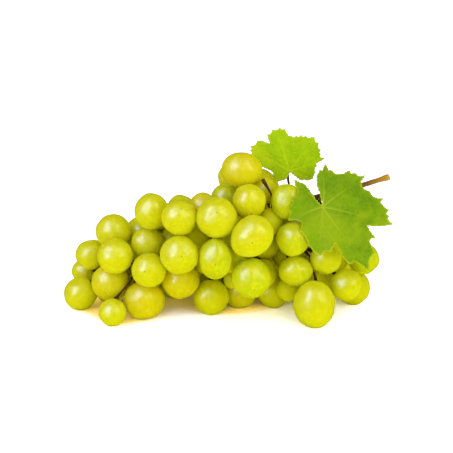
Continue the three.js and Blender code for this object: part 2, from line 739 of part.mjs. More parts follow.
/** Grows a twig from the stalk to each berry through the free space, as one branching network. */
function growTwigs() {
  const AWAY = 14; // what a stem end that faces away from the stalk adds to its way
  const CLOSED = 3; // cells of a twig next to its berry that no other twig joins
  const COMPASS_DETAIL = 3; // subdivisions of the icosahedron whose corners a twig may leave a berry by
  const START = LEAST_ROOM + 1; // from a berry's skin to the first cell of its twig
  const space = new FreeSpace(...CORNERS.map(vector));
  space.fill(berries, [...largeLeaf.points(), ...smallLeaf.points()]);
  const network = new Map();
  for (const bead of stalkBeads) {
    if (bead.x > STALK[3][0]) continue;
    network.set(space.index(bead), { at: bead, load: 0, distance: 0, open: true, near: [], below: -1 });
  }
  const compass = new THREE.IcosahedronGeometry(1, COMPASS_DETAIL).getAttribute("position");
  const ends = [];
  const off = (berry) => nearestOnStalk(berry.place).distanceTo(berry.place);
  for (const berry of [...berries].sort((a, b) => off(a) - off(b))) {
    const inward = nearestOnStalk(berry.place).clone().sub(berry.place).normalize();
    const starts = [];
    for (let i = 0; i < compass.count; i++) {
      const direction = new THREE.Vector3().fromBufferAttribute(compass, i).normalize();
      const start = berry.place.clone().addScaledVector(direction, berry.radius(direction) + START);
      starts.push({ cell: space.index(start), cost: AWAY * (1 - direction.dot(inward)), direction, start });
    }
    const cells = space.wayToNetwork(starts, network);
    if (!cells.length) throw new Error("no way to a berry at " + berry.place.toArray());
    const { direction, start } = starts.find(({ cell }) => cell === cells[0]);
    for (let i = cells.length - 2; i >= 0; i--) {
      const [cell, below] = [cells[i], cells[i + 1]];
      const at = i === 0 ? start : space.point(cell);
      const distance = network.get(below).distance + at.distanceTo(network.get(below).at);
      network.set(cell, { at, load: 0, distance, open: i >= CLOSED, near: [below], below });
      network.get(below).near.push(cell);
    }
    for (let cell = cells[0]; cell !== -1; cell = network.get(cell).below) network.get(cell).load += 1;
    ends.push({ berry, direction, cells });
  }
  smoothTwigs(network);
  const middles = [straightPieces(stalkLine, STALK_STEPS)];
  return ends.map((end) => {
    const { curve, steps, widths } = twigLine(end, network, middles.flat());
    middles.push(straightPieces(curve, steps));
    return stem(curve, TWIG_SIDES, steps, widths);
  });
}

/** The straight stretches of a stem's middle. */
function straightPieces(curve, steps) {
  const stations = curve.getSpacedPoints(steps);
  return stations.slice(1).map((station, i) => new THREE.Line3(stations[i], station));
}

/** Evens out the network, keeping its roots on the stalk and its twigs off the berries. */
function smoothTwigs(network) {
  const PASSES = 40;
  const EASE = 0.6;
  const SPARE = 0.8; // room kept for the flats of a twig's sides and for its straight stretches
  const free = [...network.values()].filter(({ below, near }) => below !== -1 && near.length > 1);
  for (let pass = 0; pass < PASSES; pass++) {
    const means = free.map(({ near }) => {
      const mean = new THREE.Vector3();
      for (const cell of near) mean.add(network.get(cell).at);
      return mean.divideScalar(near.length);
    });
    for (const [i, node] of free.entries()) {
      node.at.lerp(means[i], EASE);
      const room = twigWidth(node.load) / 2 + GAP + SPARE;
      for (const berry of berries) {
        const short = room - berry.clearance(node.at);
        if (short > 0) node.at.addScaledVector(node.at.clone().sub(berry.place).normalize(), short);
      }
    }
  }
}

function twigWidth(load) {
  return TWIG_WIDTH * Math.max(load, 1) ** TWIG_GROWTH;
}

/** The line of a twig from its berry down to the middle of the stem it joins, with its widths. */
function twigLine({ berry, direction, cells }, network, middles) {
  const tip = berry.place.clone().addScaledVector(direction, berry.radius(direction) + GAP);
  const line = cells.map((cell) => network.get(cell).at.clone());
  const end = line.at(-1);
  const root = end.clone();
  let least = Infinity;
  for (const middle of middles) {
    const point = middle.closestPointToPoint(end, true, new THREE.Vector3());
    if (point.distanceTo(end) < least) {
      least = point.distanceTo(end);
      root.copy(point);
    }
  }
  end.copy(root);
  const curve = new THREE.CatmullRomCurve3([tip, ...line]);
  const steps = Math.max(2, Math.round(curve.getLength() / TWIG_STEP));
  const widths = [CAP_WIDTH];
  for (let step = 1; step <= steps; step++) {
    const k = Math.min(Math.round(((cells.length - 1) * step) / steps), Math.max(cells.length - 2, 0));
    widths.push(twigWidth(network.get(cells[k]).load));
  }
  return { curve, steps, widths };
}

/** The stalk, its twigs and the leaves' petioles, grown together, dented where a berry presses. */
function stemsSolid() {
  const stalkWidths = [CUT_END_WIDTH, STALK_WIDTH, STALK_WIDTH, STALK_WIDTH, STALK_TIP_WIDTH];
  let whole = stem(stalkLine, STALK_SIDES, STALK_STEPS, stalkWidths);
  for (const line of petioles) whole = whole.add(stem(line, TWIG_SIDES, PETIOLE_STEPS, PETIOLE_WIDTHS));
  whole = whole.add(stem(spurLine, TWIG_SIDES, SPUR_STEPS, SPUR_WIDTHS));
  for (const tube of growTwigs()) whole = whole.add(tube);
  for (const berry of berries) {
    if (whole.intersect(berrySolid(berry)).volume() === 0) continue;
    const share = 1 + GAP / berry.half.width;
    const room = berry.shape.clone().scale(share, share, share).translate(...berry.place.toArray());
    whole = whole.subtract(toSolid(room));
  }
  return whole;
}

// ---- The bunch ----

const bunch = new THREE.Group();

function addPiece(name, solid, material) {
  const mesh = new THREE.Mesh(toGeometry(solid), material);
  mesh.name = name;
  bunch.add(mesh);
}

berries.forEach((berry, i) => addPiece("berry_" + String(i + 1).padStart(2, "0"), berrySolid(berry), SKIN));
addPiece(largeLeaf.name, largeLeaf.solid(), LARGE_BLADE);
addPiece(smallLeaf.name, smallLeaf.solid(), SMALL_BLADE);
addPiece("stems", stemsSolid(), BARK);

// The origin is under the middle of the bunch, on the surface it lies on.
const box = new THREE.Box3().setFromObject(bunch);
const middle = box.getCenter(new THREE.Vector3());
bunch.position.set(-middle.x, -middle.y, 0);

export default bunch;
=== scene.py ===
"""The looks of a bunch of white table grapes on its side, with its cut stalk and two vine leaves.

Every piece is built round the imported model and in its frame, in metres: +Z is up, +X runs along the
bunch to the cut end of the stalk, and -Y is the near side.
"""

import logging
import math
import random
from collections.abc import Iterator, Mapping, Sequence
from dataclasses import dataclass, field
from enum import Enum
from functools import cache
from typing import Any

import bpy
import numpy as np
from bpy.types import ID, Material, Mesh, Node, NodeSocket, NodeTree, Object
from mathutils import Matrix, Vector, noise
from mathutils.bvhtree import BVHTree
from mathutils.geometry import delaunay_2d_cdt
from numpy.linalg import norm


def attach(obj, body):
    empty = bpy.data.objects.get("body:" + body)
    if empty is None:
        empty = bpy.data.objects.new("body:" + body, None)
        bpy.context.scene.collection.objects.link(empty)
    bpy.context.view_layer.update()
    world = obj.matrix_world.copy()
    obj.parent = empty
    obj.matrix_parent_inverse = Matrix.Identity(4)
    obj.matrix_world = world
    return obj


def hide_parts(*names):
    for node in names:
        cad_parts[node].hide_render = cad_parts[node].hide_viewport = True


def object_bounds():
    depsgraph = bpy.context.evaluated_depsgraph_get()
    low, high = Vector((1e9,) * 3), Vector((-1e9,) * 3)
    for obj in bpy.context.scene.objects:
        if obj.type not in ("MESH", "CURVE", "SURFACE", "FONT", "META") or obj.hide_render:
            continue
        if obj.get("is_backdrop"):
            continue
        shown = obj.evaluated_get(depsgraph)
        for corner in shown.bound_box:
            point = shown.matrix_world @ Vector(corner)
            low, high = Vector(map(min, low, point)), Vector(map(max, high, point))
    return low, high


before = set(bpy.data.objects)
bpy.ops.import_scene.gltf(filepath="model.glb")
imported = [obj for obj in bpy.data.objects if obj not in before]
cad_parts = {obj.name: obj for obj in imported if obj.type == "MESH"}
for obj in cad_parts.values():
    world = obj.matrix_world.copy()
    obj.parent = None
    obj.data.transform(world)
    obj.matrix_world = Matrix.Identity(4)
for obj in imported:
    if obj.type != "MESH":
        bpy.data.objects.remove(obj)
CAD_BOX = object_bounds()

log = logging.getLogger("grapes")

MM = 0.001
BODY = "root"
SAME_PLACE = 1e-6  # metres within which two CAD points are one

Array = np.ndarray
Span = tuple[float, float]
Triple = tuple[float, float, float]
Sockets = Mapping[str, str]
Colour = Triple
Patches = Triple  # how many there are to a unit, and the noise at which one begins and is full


# ---- Node trees ----


class Wiring:
    """Adds nodes to a node tree, with their settings, values and links."""

    def __init__(self, tree: NodeTree) -> None:
        """Starts on a tree that already exists."""
        self.tree = tree

    def add(self, kind: str, values: Mapping[Any, Any] | None = None, **settings: Any) -> Node:
        """Adds one node.

        Args:
            kind: Blender's name for the type of node.
            values: by an input's name or number, a value or the socket that feeds it.
            **settings: the node's own settings.

        Returns:
            The node.
        """
        node = self.tree.nodes.new(kind)
        for name, value in settings.items():
            setattr(node, name, value)
        for key, value in (values or {}).items():
            if isinstance(value, NodeSocket):
                self.tree.links.new(value, node.inputs[key])
            elif value is not None:
                node.inputs[key].default_value = value
        return node

    def math(self, operation: str, first: Any, second: Any = None) -> Any:
        """One of Blender's sums, on a number or two or their sockets."""
        return self.add("ShaderNodeMath", {0: first, 1: second}, operation=operation).outputs[0]

    def times(self, first: Any, second: Any) -> Any:
        """The product of two numbers or sockets."""
        return self.math("MULTIPLY", first, second)

    def vector(self, operation: str, first: Any, second: Any = None, scale: Any = None) -> Any:
        """One of Blender's sums on a vector or two or their sockets, or on a vector and its scale."""
        node = self.add("ShaderNodeVectorMath", {0: first, 1: second, "Scale": scale}, operation=operation)
        return node.outputs["Value" if operation in ("DOT_PRODUCT", "LENGTH") else "Vector"]

    def ramp(self, value: Any, start: Any, end: Any, low: Any = 0.0, high: Any = 1.0) -> Any:
        """Goes smoothly from low to high as a value goes from start to end."""
        values = {"Value": value, 1: start, 2: end, 3: low, 4: high}
        return self.add("ShaderNodeMapRange", values, interpolation_type="SMOOTHSTEP").outputs[0]

    def mix(self, factor: Any, first: Any, second: Any) -> Any:
        """Mixes two colours, or their sockets, by how much of the second shows."""
        values = {0: factor, 6: opaque(first), 7: opaque(second)}
        return self.add("ShaderNodeMix", values, data_type="RGBA").outputs[2]

    def noise(self, place: Any, scale: float, detail: float = 2.0, roughness: float = 0.5) -> Any:
        """A soft random value from 0 to 1, with finer layers by their number and strength."""
        values = {"Vector": place, "Scale": scale, "Detail": detail, "Roughness": roughness}
        return self.add("ShaderNodeTexNoise", values).outputs[0]

    def attribute(self, name: str, output: str = "Fac") -> Any:
        """A value that the mesh itself holds, by its name and the kind of output."""
        return self.add("ShaderNodeAttribute", attribute_name=name).outputs[output]

    def bump(self, height: Any, strength: float, distance: float) -> Any:
        """The surface's direction with a relief of a given strength and height in metres."""
        values = {"Height": height, "Strength": strength, "Distance": distance}
        return self.add("ShaderNodeBump", values).outputs[0]

    def patches(self, place: Any, look: Patches) -> Any:
        """Places soft blotches, and gives their mask."""
        values = {"Place": place, **dict(zip(("Scale", "Start", "End"), look))}
        return self.add("ShaderNodeGroup", values, node_tree=soft_blotches()).outputs["Mask"]

    def coats(self, colour: Any, *coats: tuple[Any, Any]) -> Any:
        """Lays colours over a first one in order, each through its mask."""
        for mask, coat in coats:
            colour = self.mix(mask, colour, coat)
        return colour

    def surface(self, shader: str, values: Mapping, output: str = "ShaderNodeOutputMaterial") -> None:
        """Ends the tree with a shader, by Blender's name for it and for the tree's output."""
        self.add(output, {"Surface": self.add(shader, values).outputs[0]})

    def geometry(self, made: Any, finish: Any) -> None:
        """Ends a geometry tree with its mesh realized and in its material."""
        made = self.add("GeometryNodeRealizeInstances", {"Geometry": made}).outputs[0]
        made = self.add("GeometryNodeSetMaterial", {"Geometry": made, "Material": finish}).outputs[0]
        self.add("NodeGroupOutput", {"Geometry": made})


def opaque(colour: Any) -> Any:
    """A colour with full opacity added, or the socket it was given."""
    return colour if isinstance(colour, NodeSocket) else (*colour, 1.0)


def new_group(name: str, kind: str, inputs: Sockets, outputs: Sockets) -> tuple[Wiring, Mapping]:
    """Starts a node group with named sockets.

    Args:
        name: the group's name.
        kind: Shader or Geometry.
        inputs: the socket type, such as Float, for each input's name.
        outputs: the socket type for each output's name.

    Returns:
        The group's wiring, and the sockets of its inputs.
    """
    tree = bpy.data.node_groups.new(name, kind + "NodeTree")
    for side, sockets in (("INPUT", inputs), ("OUTPUT", outputs)):
        for label, held in sockets.items():
            tree.interface.new_socket(name=label, in_out=side, socket_type="NodeSocket" + held)
    wire = Wiring(tree)
    return wire, wire.add("NodeGroupInput").outputs


# ---- Meshes ----


def new_object(name: str, data: ID) -> Object:
    """An object for a mesh, light or camera, at the origin and shown in the scene."""
    made = bpy.data.objects.new(name, data)
    bpy.context.scene.collection.objects.link(made)
    return made


def mesh_from(name: str, points: Array, faces: Sequence[Sequence[int]]) -> Mesh:
    """Makes a smooth mesh.

    Args:
        name: its name.
        points: its points in metres.
        faces: the numbers of each face's points.

    Returns:
        The mesh.
    """
    mesh = bpy.data.meshes.new(name)
    mesh.from_pydata(np.asarray(points).tolist(), [], [list(map(int, face)) for face in faces])
    mesh.update()
    mesh.shade_smooth()
    return mesh


def apply_modifiers(made: Object) -> Object:
    """Makes what an object's modifiers show its own plain mesh, and takes the modifiers off.

    Args:
        made: the object.

    Returns:
        The same object.
    """
    graph = bpy.context.evaluated_depsgraph_get()
    mesh = bpy.data.meshes.new_from_object(made.evaluated_get(graph))
    made.modifiers.clear()
    made.data = mesh
    mesh.name = made.name
    return made


def grow(name: str, tree: NodeTree, values: Mapping[str, Any], base: Mesh | None = None) -> Object:
    """Makes an object with a Geometry Nodes tree.

    Args:
        name: the object's name.
        tree: the tree.
        values: the tree's inputs by name.
        base: the mesh that the tree starts from, if it needs one.

    Returns:
        The object, with a plain mesh.
    """
    made = new_object(name, base or bpy.data.meshes.new(name))
    modifier = made.modifiers.new("grow", "NODES")
    modifier.node_group = tree
    for item in tree.interface.items_tree:
        if item.item_type == "SOCKET" and item.in_out == "INPUT" and item.name in values:
            modifier[item.identifier] = values[item.name]
    return apply_modifiers(made)


def read(items: Any, name: str, kind: type = float) -> Array:
    """Three numbers for each vertex or triangle of a mesh, by their name."""
    values = np.zeros(len(items) * 3, kind)
    items.foreach_get(name, values)
    return values.reshape(-1, 3)


def cad_points(node: str) -> tuple[Array, Array]:
    """The points of a CAD node with its loose triangles joined.

    Args:
        node: the node's name.

    Returns:
        The points in metres, and three of their numbers for each triangle.
    """
    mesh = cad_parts[node].data
    mesh.calc_loop_triangles()
    loose = read(mesh.vertices, "co")
    corners = read(mesh.loop_triangles, "vertices", np.int64)
    places = np.round(loose / SAME_PLACE).astype(np.int64)
    _, first, joined = np.unique(places, axis=0, return_index=True, return_inverse=True)
    faces = joined.reshape(-1)[corners]
    whole = (faces[:, 0] != faces[:, 1]) & (faces[:, 1] != faces[:, 2]) & (faces[:, 0] != faces[:, 2])
    return loose[first], faces[whole]


def store(mesh: Mesh, name: str, values: Array) -> None:
    """Keeps a number, or a vector, for each point of a mesh under a name that materials read."""
    values = np.asarray(values, np.float32)
    kind, slot = ("FLOAT_VECTOR", "vector") if values.ndim == 2 else ("FLOAT", "value")
    mesh.attributes.new(name, kind, "POINT").data.foreach_set(slot, values.ravel())


def hand_over(made: Object, slot: str, replaced: Sequence[str] = ()) -> None:
    """Fixes a finished piece to the bunch.

    Args:
        made: the piece.
        slot: the record's material slot; not used.
        replaced: the CAD nodes that it stands for.
    """
    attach(made, BODY)
    if replaced:
        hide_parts(*replaced)
    log.info("%s: %d faces for %s", made.name, len(made.data.polygons), ", ".join(replaced) or "no node")


# ---- Finishes ----


@cache
def soft_blotches() -> NodeTree:
    """Makes soft-edged patches.

    Returns:
        The group: a mask from a place, the patches' size and how much they cover.
    """
    inputs = {"Place": "Vector", "Scale": "Float", "Start": "Float", "End": "Float"}
    wire, given = new_group("soft_blotches", "Shader", inputs, {"Mask": "Float"})
    raw = wire.noise(given["Place"], given["Scale"], detail=3.0, roughness=0.55)
    wire.add("NodeGroupOutput", {"Mask": wire.ramp(raw, given["Start"], given["End"])})
    return wire.tree


@cache
def veinlet_net() -> NodeTree:
    """Makes a fine net of veinlets.

    Returns:
        The group: the net's lines, and the cushions that rise between them.
    """
    inputs = {"Place": "Vector", "Scale": "Float", "Line": "Float"}
    wire, given = new_group("veinlet_net", "Shader", inputs, {"Lines": "Float", "Cushions": "Float"})
    warp = wire.add("ShaderNodeTexNoise", {"Vector": given["Place"], "Scale": given["Scale"]})
    shift = wire.vector("SUBTRACT", warp.outputs["Color"], (0.5, 0.5, 0.5))
    scaled = wire.vector("SCALE", given["Place"], scale=given["Scale"])
    bent = wire.vector("ADD", scaled, wire.vector("SCALE", shift, scale=0.7))
    values = {"Vector": bent, "Scale": 1.0}
    cells = wire.add("ShaderNodeTexVoronoi", values, feature="DISTANCE_TO_EDGE").outputs["Distance"]
    lines = wire.ramp(cells, 0.0, given["Line"], 1.0, 0.0)
    wire.add("NodeGroupOutput", {"Lines": lines, "Cushions": wire.ramp(cells, 0.0, 0.4)})
    return wire.tree


def new_material(name: str, preview: Colour = (1.0, 1.0, 1.0)) -> tuple[Material, Wiring]:
    """Starts a material.

    Args:
        name: its name.
        preview: its colour in the viewport.

    Returns:
        The material without nodes, and the wiring for them.
    """
    material = bpy.data.materials.new(name)
    material.use_nodes = True
    material.diffuse_color = opaque(preview)
    material.node_tree.nodes.clear()
    return material, Wiring(material.node_tree)


@dataclass(frozen=True)
class GrapeSkin:
    """The clear skin and flesh of a white grape, with its bloom.

    Scales are per half width of the berry, and ranges along it go from -1 at the scar to 1 at the stem.
    """

    name: str = "grape_skin"
    green: Colour = (0.62, 0.72, 0.001)
    yellow: Colour = (0.79, 0.775, 0.0006)
    golden: Colour = (0.84, 0.70, 0.0006)
    bloom: Colour = (0.95, 0.97, 0.02)
    scar: Colour = (0.30, 0.20, 0.02)
    amber: Patches = (1.3, 0.45, 0.75)
    amber_ripening: float = 0.2
    haze: Patches = (2.2, 0.35, 0.7)
    haze_strength: float = 0.15
    pore_strength: float = 0.35
    scar_strength: float = 0.6
    neck_strength: float = 0.45
    thread_stretch: Triple = (6.0, 6.0, 0.9)
    thread_range: Span = (0.45, 0.7)
    pore_scale: float = 9.0
    pore_range: Span = (0.03, 0.09)
    scar_range: Span = (-0.9990, -0.9975)
    neck_range: Span = (0.975, 0.995)
    flesh_radius: Colour = (1.0, 0.9, 0.12)
    flesh_scale: float = 9.5 * MM
    flesh: float = 1.0
    gloss: float = 1.0
    roughness: Span = (0.32, 0.4)
    relief: float = 0.25 * MM

    def material(self) -> Material:
        """Builds the material.

        Returns:
            The material, which reads each berry's own skin place, draw and ripeness.
        """
        material, wire = new_material(self.name, self.yellow)
        skin = wire.attribute("skin", "Vector")
        place = wire.vector("ADD", skin, wire.attribute("draw", "Vector"))
        along = wire.add("ShaderNodeSeparateXYZ", {0: skin}).outputs[2]

        amber = wire.times(wire.patches(place, self.amber), self.amber_ripening)
        ripe = wire.math("ADD", wire.attribute("ripeness"), amber)

        # faint threads run under the skin from the stem end to the scar
        meridians = wire.vector("MULTIPLY", place, self.thread_stretch)
        threads = wire.ramp(wire.noise(meridians, 1.0, 3.0), *self.thread_range)
        threads = wire.times(threads, wire.ramp(wire.math("ABSOLUTE", along), 0.5, 0.95, 0.35, 0.55))

        # pale pores, scattered thinly
        pores = wire.add("ShaderNodeTexVoronoi", {"Vector": place, "Scale": self.pore_scale})
        pores = wire.ramp(pores.outputs["Distance"], *self.pore_range, self.pore_strength, 0.0)
        haze = wire.patches(place, self.haze)

        # the brown scar at the end away from the stem, and a darker ring at the stem
        scar = wire.ramp(along, *self.scar_range, self.scar_strength, 0.0)
        neck = wire.ramp(along, *self.neck_range, 0.0, self.neck_strength)

        colour = wire.coats(
            self.green,
            (wire.ramp(ripe, 0.0, 0.5), self.yellow),
            (wire.ramp(ripe, 0.5, 1.0), self.golden),
            (threads, self.bloom),
            (pores, self.bloom),
            (wire.times(haze, self.haze_strength), self.bloom),
            (wire.math("MAXIMUM", scar, neck), self.scar),
        )
        dullness = wire.ramp(haze, 0.0, 1.0, *self.roughness)
        dullness = wire.math("MAXIMUM", dullness, wire.times(scar, 0.8))
        grain = wire.times(wire.noise(place, 30.0, 3.0, 0.6), 0.06)
        height = wire.math("ADD", grain, wire.noise(place, 3.5, 1.0))
        height = wire.math("SUBTRACT", height, wire.times(pores, 0.1))
        values = {
            "Base Color": colour,
            "Roughness": dullness,
            "Normal": wire.bump(height, 0.25, self.relief),
            "IOR": 1.45,
            "Specular IOR Level": self.gloss,
            "Subsurface Weight": self.flesh,
            "Subsurface Radius": self.flesh_radius,
            "Subsurface Scale": self.flesh_scale,
        }
        wire.surface("ShaderNodeBsdfPrincipled", values)
        return material


@dataclass(frozen=True)
class Bark:
    """The brown skin of the stalk and its twigs, with a green cut face."""

    brown: Colour = (0.12, 0.045, 0.006)
    dark: Colour = (0.035, 0.016, 0.004)
    tan: Colour = (0.16, 0.07, 0.008)
    fresh: Colour = (0.80, 0.42, 0.012)
    cut: Colour = (0.74, 0.62, 0.14)
    tan_patches: Patches = (110.0, 0.38, 0.66)
    dark_flecks: Patches = (420.0, 0.5, 0.7)
    ridge_stretch: Triple = (0.35, 1.0, 1.0)
    ridge_scale: float = 1500.0
    ridge_height: float = 0.3 * MM
    ring_scale: float = 2600.0
    roughness: Span = (0.5, 0.8)
    gloss: float = 0.15

    def material(self) -> Material:
        """Builds the material.

        Returns:
            The material, which reads the stems' cut face and youth.
        """
        material, wire = new_material("stem_bark", self.brown)
        place = wire.add("ShaderNodeTexCoord").outputs["Object"]
        rings = wire.times(wire.noise(place, self.ring_scale), 0.6)
        colour = wire.coats(
            self.brown,
            (wire.patches(place, self.tan_patches), self.tan),
            (wire.patches(place, self.dark_flecks), self.dark),
            (wire.times(wire.attribute("youth"), 0.8), self.dark),
            (wire.attribute("fresh"), self.fresh),
            (wire.attribute("cut_face"), wire.mix(rings, self.cut, self.tan)),
        )
        grain = wire.vector("MULTIPLY", place, self.ridge_stretch)
        ridges = wire.noise(grain, self.ridge_scale, 4.0, 0.65)
        values = {
            "Base Color": colour,
            "Roughness": wire.ramp(ridges, 0.2, 0.8, *self.roughness),
            "Normal": wire.bump(ridges, 0.6, self.ridge_height),
            "Specular IOR Level": self.gloss,
        }
        wire.surface("ShaderNodeBsdfPrincipled", values)
        return material


@dataclass(frozen=True)
class LeafGreen:
    """A vine leaf's green, with pale veins, a yellow margin and a paler underside.

    Each net of veinlets has its cells to a unit, its lines' width in a cell, and how much its lines
    show and its cushions rise.
    """

    name: str
    blade: Colour
    shade: Colour
    light: Colour
    vein: Colour = (0.46, 0.60, 0.02)
    margin: Colour = (0.66, 0.72, 0.01)
    underside: Colour = (0.38, 0.48, 0.12)
    shade_patches: Patches = (60.0, 0.4, 0.6)
    light_patches: Patches = (32.0, 0.45, 0.65)
    coarse_net: tuple[float, float, float, float] = (230.0, 0.07, 0.22, 1.0)
    fine_net: tuple[float, float, float, float] = (620.0, 0.09, 0.16, 0.5)
    vein_fade: Span = (4 * MM, 24 * MM)
    roughness: Span = (0.44, 0.6)
    gloss: float = 0.05
    depth: float = 0.15
    depth_radius: Colour = (0.6, 1.0, 0.08)
    depth_scale: float = 0.6 * MM
    relief: float = 0.4 * MM

    def material(self) -> Material:
        """Builds the material.

        Returns:
            The material, which reads the blade's flat place, veins, margin and underside.
        """
        material, wire = new_material(self.name, self.blade)
        flat = wire.attribute("flat", "Vector")
        under = wire.attribute("underside")
        fading = wire.ramp(wire.vector("LENGTH", flat), *self.vein_fade, 1.0, 0.45)
        vein = wire.times(wire.attribute("vein"), fading)
        height = wire.times(wire.noise(flat, 5000.0), 0.15)
        for scale, line, shown, raised in (self.coarse_net, self.fine_net):
            values = {"Place": flat, "Scale": scale, "Line": line}
            net = wire.add("ShaderNodeGroup", values, node_tree=veinlet_net()).outputs
            vein = wire.math("MAXIMUM", vein, wire.times(net["Lines"], shown))
            height = wire.math("ADD", height, wire.times(net["Cushions"], raised))
        colour = wire.coats(
            self.blade,
            (wire.patches(flat, self.shade_patches), self.shade),
            (wire.patches(flat, self.light_patches), self.light),
            (vein, self.vein),
            (wire.attribute("margin"), self.margin),
            (wire.times(under, 0.75), self.underside),
        )
        dullness = wire.ramp(wire.noise(flat, 400.0, 3.0), 0.3, 0.7, *self.roughness)
        values = {
            "Base Color": colour,
            "Roughness": wire.math("ADD", dullness, wire.times(under, 0.2)),
            "Normal": wire.bump(height, 0.5, self.relief),
            "Specular IOR Level": self.gloss,
            "Subsurface Weight": self.depth,
            "Subsurface Radius": self.depth_radius,
            "Subsurface Scale": self.depth_scale,
        }
        wire.surface("ShaderNodeBsdfPrincipled", values)
        return material


# ---- Berries ----


class Ripeness(Enum):
    """How far a berry has turned from green through yellow to gold."""

    GREENISH = 0.18
    PALE = 0.36
    YELLOW = 0.5
    GOLDEN = 0.8


@dataclass
class Shape:
    """The ellipsoid of revolution that a CAD berry is rounded from, in metres."""

    centre: Array
    axis: Array
    half_width: float
    half_length: float

    @classmethod
    def of_node(cls, node: str) -> "Shape":
        """Finds the ellipsoid that a CAD node's points lie on.

        Args:
            node: the berry's node.

        Returns:
            Its shape. The flat that it rests on is left out of the fit.
        """
        points, _ = cad_points(node)
        points = points[points[:, 2] > 0.05 * MM]
        middle = points.mean(0)
        size = 10 * MM
        x, y, z = ((points - middle) / size).T
        terms = np.stack([x * x, y * y, z * z, 2 * x * y, 2 * x * z, 2 * y * z, 2 * x, 2 * y, 2 * z], 1)
        a, b, c, d, e, f, *linear = np.linalg.lstsq(terms, np.ones(len(x)), rcond=None)[0]
        quadric = np.array([[a, d, e], [d, b, f], [e, f, c]])
        offset = -np.linalg.solve(quadric, np.array(linear))
        level = 1 + offset @ quadric @ offset
        values, vectors = np.linalg.eigh(quadric / level)
        halves = size / np.sqrt(values)
        odd = 0 if abs(halves[0] - halves[1]) > abs(halves[1] - halves[2]) else 2
        width = np.delete(halves, odd).mean()
        return cls(middle + offset * size, vectors[:, odd], float(width), float(halves[odd]))

    def radius(self, outward: Array) -> Any:
        """How far the surface is from the centre in a direction, or in each of several."""
        along = (outward @ self.axis) ** 2
        return 1 / np.sqrt((1 - along) / self.half_width**2 + along / self.half_length**2)

    def clearance(self, points: Array) -> Array:
        """About how far each point is outside the surface."""
        away = points - self.centre
        distance = norm(away, axis=1, keepdims=True)
        return distance[:, 0] - self.radius(away / distance)


# Berries too deep in the bunch for the solids: x, y, z and radius in mm.
INNER_BERRIES = (
    (38, 6, 32, 10), (52, -6, 18, 10), (-2, -5.3, 32.4, 7.3), (24, -1.3, 40.4, 8.4),
    (4, -10, 52, 10), (-20, -10, 46, 10), (22, -9.3, 24.4, 8.9), (-34, 10, 32, 9.5),
    (32, 14, 48, 9.4), (67, 10, 29, 10), (46, 8, 8, 8.9), (6, 6, 26, 8.9), (-42, 6, 56, 8.6),
    (-44, -6, 24, 8.3), (26, -9.8, 58, 7.9), (16, 12, 42, 8.2), (-22, 2, 24, 8), (-16, 28, 8, 7.8),
    (-8, 8, 34, 7.8), (14, 6, 60, 7.8), (-78, 24, 16, 7.4), (38, -14, 16, 7.1), (52, 4, 40, 7),
    (-14, -6.7, 29.6, 5.6), (4, -17.3, 36.4, 7.7), (4, -9.3, 20.4, 5.4), (-34, 0, 44, 6.7),
    (20, 8, 20, 6.7), (-84, 18, 30, 6.7), (-50, 12, 26, 6.6), (74, 24, 10, 9.7), (34, 34, 19, 6.3),
    (46, -6, 32, 5), (-57.2, 0, 35.4, 5), (62, 12, 12, 8.3),
)


